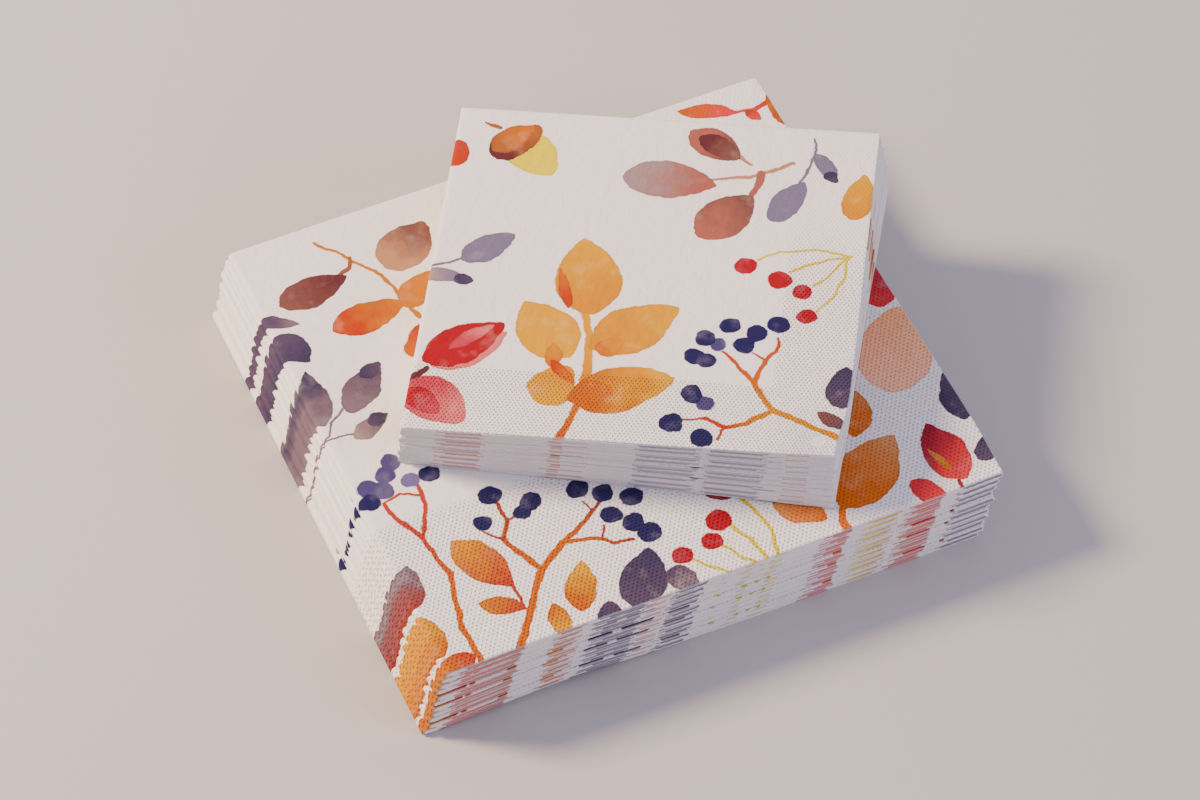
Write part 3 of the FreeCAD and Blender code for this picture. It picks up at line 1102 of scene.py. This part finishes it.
def tissue_material(name, pile, paper, designs, brushes):
    """Printed three-ply tissue with its fibres, embossed bands and bare plies at the cut edges."""
    material = bpy.data.materials.new(name)
    material.use_nodes = True
    tree = material.node_tree
    shader = tree.nodes["Principled BSDF"]
    shader.inputs["Roughness"].default_value = 0.92
    shader.inputs["Specular IOR Level"].default_value = 0.08
    shader.inputs["Sheen Weight"].default_value = 0.04
    shader.inputs["Sheen Roughness"].default_value = 0.6

    source = tree.nodes.new("ShaderNodeUVMap")
    source.uv_map = PRINT_MAP
    shift = tree.nodes.new("ShaderNodeAttribute")
    shift.attribute_name = "print_shift"
    flat = Wire(tree, source.outputs[0])
    place = flat.vector("ADD", Wire(tree, shift.outputs["Vector"])).vector("SCALE", scale=1 / MM)
    flat_mm = flat.vector("SCALE", scale=1 / MM)

    # a hand-drawn line is never quite true
    drift = strays(tree, place, 0.16, detail=3.0, roughness=0.6)
    hand = place.vector("ADD", drift.vector("MULTIPLY", (HAND, HAND, 0.0)))
    blot = noise(tree, place, 0.13, detail=2.5, roughness=0.6)
    fibre = noise(tree, flat_mm.vector("MULTIPLY", (1.0, 2.2, 1.0)), 1.1, detail=4.0, roughness=0.7)

    bare = blended(fibre, (*[c * 0.93 for c in paper], 1.0), (*paper, 1.0))
    print_colour = painted(tree, hand, blot, bare, *designs, brushes)
    # the ink sits unevenly on the fibres
    grain = (fibre - 0.5) * 0.25 + 1.0
    print_colour = print_colour.vector("SCALE", scale=grain)

    ply = tree.nodes.new("ShaderNodeAttribute")
    ply.attribute_name = PLY_SIDE
    side = Wire(tree, ply.outputs["Fac"])
    # at the cut edge the ink soaks from the printed ply into the next
    on_face = steps(side.math("ABSOLUTE"), 0.985, 1.0)
    soaked = steps(side, -1.9, 0.3) * on_face.scaled(1.0 - pile.edge_ink, pile.edge_ink)
    colour = blended(soaked, bare, print_colour)

    # embossed dots along the cut edges, in staggered rows
    x, y, _ = flat_mm.split()
    half = pile.sheet / 4 / MM
    # the sheet's own cut edges lie on all four of its sides
    from_side = (half - x).math("MINIMUM", x + 3 * half)
    from_front = (y + half).math("MINIMUM", 3 * half - y)
    band = (from_side * (-1 / (pile.side_band / MM)) + 1.0).math(
        "MAXIMUM", from_front * (-1 / (pile.front_band / MM)) + 1.0
    )
    # they are pressed in less deeply towards the first fold
    embossed = steps(band, 0.0, 0.08) * (1.0 - steps(y, -0.1 * half, 0.5 * half) * 0.8)
    pitch = pile.dot_pitch / MM
    waver = strays(tree, flat_mm, 0.5, detail=1.0)
    lattice = flat_mm.vector("ADD", waver.vector("SCALE", scale=0.5 * pitch))
    dots = []
    for offset in ((0.0, 0.0), (0.5, 0.5)):
        cell = lattice.vector("MULTIPLY", (1 / pitch, 1 / ROW_PITCH / pitch, 0.0))
        cell = cell.vector("ADD", (*offset, 0.0)).vector("FRACTION")
        away = cell.vector("SUBTRACT", (0.5, 0.5, 0.0)).vector("MULTIPLY", (1.0, ROW_PITCH, 0.0))
        dots.append(away.vector("LENGTH", out=1))
    away = dots[0].math("MINIMUM", dots[1])
    pit = (1.0 - steps(away, 0.04, 0.33)) * embossed * on_face
    # painted shade: the pressed-in dots are darkened in the colour, besides their bump below
    colour = blended(pit * DOT_SHADE, colour, DOT_SHADE_COLOUR, "MULTIPLY")
    tree.links.new(colour.socket, shader.inputs["Base Color"])

    crepe = noise(tree, flat_mm.vector("MULTIPLY", (1.0, 0.55, 1.0)), 0.42, detail=2.0)
    relief = fibre * FIBRE_RELIEF + crepe * CREPE_RELIEF + pit * -DOT_DEPTH
    bump = tree.nodes.new("ShaderNodeBump")
    bump.inputs["Strength"].default_value = 1.0
    bump.inputs["Distance"].default_value = 1.0 * MM
    feed(tree, bump.inputs["Height"], relief)
    tree.links.new(bump.outputs[0], shader.inputs["Normal"])
    return material


# --- Piles ---

# The pitch of the faces that are hardly seen, and of those past the top napkin's folds.
COARSE, TOP_COARSE = 12 * MM, 9 * MM
# The share of a pile's lean that the leaves of each napkin follow.
LEAN_SHARE = 0.9


def pile_nodes(kind):
    """The nodes of one pile's napkins, bottom to top."""
    return sorted(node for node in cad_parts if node.startswith(f"{kind}_napkin_"))


def move_print(piece, index, reach):
    """Gives the piece the shift of its print, as paper runs through a press a little unevenly."""
    moved = piece.data.attributes.new("print_shift", "FLOAT_VECTOR", "POINT")
    shift = (reach * math.sin(2.1 * index + 0.6), reach * math.sin(3.3 * index + 1.9), 0.0)
    moved.data.foreach_set("vector", shift * len(piece.data.vertices))


def lay_pile(kind, first_seed, designs, fine, edge_pitches):
    """Makes every napkin of a pile, each folded from a flat sheet."""
    settings = bpy.context.scene
    tissue = settings.napkin_tissue
    pile = getattr(settings, f"napkin_{kind}")
    tree = bpy.data.node_groups.get("Quarter Fold") or quarter_fold()
    brushes = {
        word: bpy.data.node_groups.get(name) or make() for word, (name, make) in BRUSHES.items()
    }
    paper = tuple(tissue.paper)
    material = tissue_material(f"{kind}_tissue", pile, paper, designs, brushes)
    # only the top napkin's face is seen, so the others have fewer faces
    plain = flat_sheet(f"{kind}_plain", pile.sheet, tissue, COARSE, COARSE, edge_pitches[0])
    shown = flat_sheet(f"{kind}_shown", pile.sheet, tissue, fine, TOP_COARSE, edge_pitches[1])
    nodes = pile_nodes(kind)
    ends = [[(a + b) / 2 for a, b in zip(*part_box(node))] for node in (nodes[0], nodes[-1])]
    lean = Vector(ends[1]) - Vector(ends[0])
    for index, node in enumerate(nodes):
        low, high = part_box(node)
        part = index / (len(nodes) - 1)
        top = node == nodes[-1]
        middle = [(a + b) / 2 for a, b in zip(low, high)]
        turn = pile.turn_low + (pile.turn_high - pile.turn_low) * part
        # the way the pile leans, as the napkin sees it
        share = LEAN_SHARE / lean.z
        shear = Quaternion((0, 0, 1), -turn) @ Vector((lean.x, lean.y, 0)) * share
        values = {
            "Folded Side": pile.sheet / 2,
            "Leaf Thickness": tissue.leaf,
            "Leaf Gap": tissue.leaf_gap,
            "Fold Gap": tissue.fold_gap,
            "Place": middle,
            "Turn": turn,
            "Shear": shear,
            "Edge Wave": 0.05 * MM,
            "Dot Pitch": pile.dot_pitch,
            "Spread": 0.22 * MM,
            "Wrinkle": 0.8 * MM if top else 0.0,
            "Corner Droop": pile.droop * part,
            "Droop Growth": pile.droop / lean.z,
            "Seed": 1.7 * index + first_seed,
            "Tissue": material,
        }
        piece = fold(shown if top else plain, f"{node}_paper", tree, values)
        move_print(piece, index, 0.0 if top else pile.shift)
        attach(piece, "root")
        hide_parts(node)
    bpy.data.meshes.remove(plain)
    bpy.data.meshes.remove(shown)


class NAPKIN_OT_lunch_pile(bpy.types.Operator):
    """Lay the pile of lunch napkins"""

    bl_idname = "napkin.lunch_pile"
    bl_label = "Lunch Napkins"

    def execute(self, context):
        designs = (LUNCH_TWIGS, LUNCH_LEAVES, LUNCH_BERRIES)
        lay_pile("lunch", 0.0, designs, 0.95 * MM, (0.75 * MM, 0.6 * MM))
        return {"FINISHED"}


class NAPKIN_OT_cocktail_pile(bpy.types.Operator):
    """Lay the pile of cocktail napkins on the lunch napkins"""

    bl_idname = "napkin.cocktail_pile"
    bl_label = "Cocktail Napkins"

    def execute(self, context):
        designs = (COCKTAIL_TWIGS, COCKTAIL_LEAVES, COCKTAIL_BERRIES)
        lay_pile("cocktail", 31.0, designs, 0.65 * MM, (0.6 * MM, 0.45 * MM))
        return {"FINISHED"}


# --- Stage ---

CAMERA_PLACE = Vector((-0.3022, -0.8084, 1.0281))
CAMERA_AIM = Vector((-0.0007, -0.0140, 0.0260))
CAMERA_ROLL = math.radians(-3.0)
LIGHT_AIM = Vector((0, 0, 20 * MM))
FLOOR_REACH = 3.0


def aimed(place, aim, roll=0.0):
    """The rotation that looks from a place at an aim, with the picture rolled."""
    look = (aim - place).to_track_quat("-Z", "Y")
    return look @ Quaternion((0, 0, 1), roll)


def add_light(name, place, size, power, colour):
    """A round soft light that shines on the stack."""
    data = bpy.data.lights.new(name, "AREA")
    data.shape = "DISK"
    data.size = size
    data.energy = power
    data.color = colour
    light = bpy.data.objects.new(name, data)
    light.location = place
    light.rotation_mode = "QUATERNION"
    light.rotation_quaternion = aimed(Vector(place), LIGHT_AIM)
    bpy.context.collection.objects.link(light)


class NAPKIN_OT_stage(bpy.types.Operator):
    """Set the floor, the soft light and the camera"""

    bl_idname = "napkin.stage"
    bl_label = "Stage"

    def execute(self, context):
        settings = context.scene.napkin_stage
        data = bpy.data.meshes.new("floor")
        reach = FLOOR_REACH
        corners = [(-reach, -reach, 0), (reach, -reach, 0), (reach, reach, 0), (-reach, reach, 0)]
        data.from_pydata(corners, [], [(0, 1, 2, 3)])
        floor = bpy.data.objects.new("floor", data)
        context.collection.objects.link(floor)
        material = bpy.data.materials.new("floor_card")
        material.use_nodes = True
        shader = material.node_tree.nodes["Principled BSDF"]
        shader.inputs["Base Color"].default_value = (*settings.floor, 1.0)
        shader.inputs["Roughness"].default_value = 0.85
        data.materials.append(material)

        add_light("key", (-1.15, 0.8, 1.15), 0.5, settings.key, (1.0, 0.73, 0.48))
        add_light("fill", (0.9, -1.1, 0.9), 0.9, settings.fill, (0.93, 0.85, 1.0))
        world = bpy.data.worlds.new("studio")
        world.use_nodes = True
        background = world.node_tree.nodes["Background"]
        background.inputs["Color"].default_value = (0.78, 0.75, 1.0, 1.0)
        background.inputs["Strength"].default_value = 0.78
        context.scene.world = world

        camera_data = bpy.data.cameras.new("camera")
        camera_data.sensor_width = 36.0
        camera_data.lens = settings.lens
        camera_data.clip_start = 0.01
        camera = bpy.data.objects.new("camera", camera_data)
        camera.location = CAMERA_PLACE
        camera.rotation_mode = "QUATERNION"
        camera.rotation_quaternion = aimed(CAMERA_PLACE, CAMERA_AIM, CAMERA_ROLL)
        context.collection.objects.link(camera)
        context.scene.camera = camera
        return {"FINISHED"}


class NAPKIN_PT_panel(bpy.types.Panel):
    """Lists the steps and the sizes of the stack"""

    bl_label = "Napkin Stack"
    bl_space_type = "VIEW_3D"
    bl_region_type = "UI"
    bl_category = "Napkins"

    def draw(self, context):
        layout = self.layout
        for operator in (NAPKIN_OT_lunch_pile, NAPKIN_OT_cocktail_pile, NAPKIN_OT_stage):
            layout.operator(operator.bl_idname)
        for group in ("napkin_tissue", "napkin_lunch", "napkin_cocktail", "napkin_stage"):
            box = layout.box()
            settings = getattr(context.scene, group)
            for name in settings.__annotations__:
                box.prop(settings, name)


CLASSES = (
    TissueSettings,
    PileSettings,
    StageSettings,
    NAPKIN_OT_lunch_pile,
    NAPKIN_OT_cocktail_pile,
    NAPKIN_OT_stage,
    NAPKIN_PT_panel,
)


def register():
    for item in CLASSES:
        bpy.utils.register_class(item)
    scene = bpy.types.Scene
    scene.napkin_tissue = bpy.props.PointerProperty(type=TissueSettings)
    scene.napkin_lunch = bpy.props.PointerProperty(type=PileSettings)
    scene.napkin_cocktail = bpy.props.PointerProperty(type=PileSettings)
    scene.napkin_stage = bpy.props.PointerProperty(type=StageSettings)


def unregister():
    for name in ("napkin_tissue", "napkin_lunch", "napkin_cocktail", "napkin_stage"):
        delattr(bpy.types.Scene, name)
    for item in reversed(CLASSES):
        bpy.utils.unregister_class(item)


def main():
    register()
    for name, value in COCKTAIL_SIZES.items():
        setattr(bpy.context.scene.napkin_cocktail, name, value)
    bpy.ops.napkin.lunch_pile()
    bpy.ops.napkin.cocktail_pile()
    bpy.ops.napkin.stage()


if __name__ == "__main__":
    main()
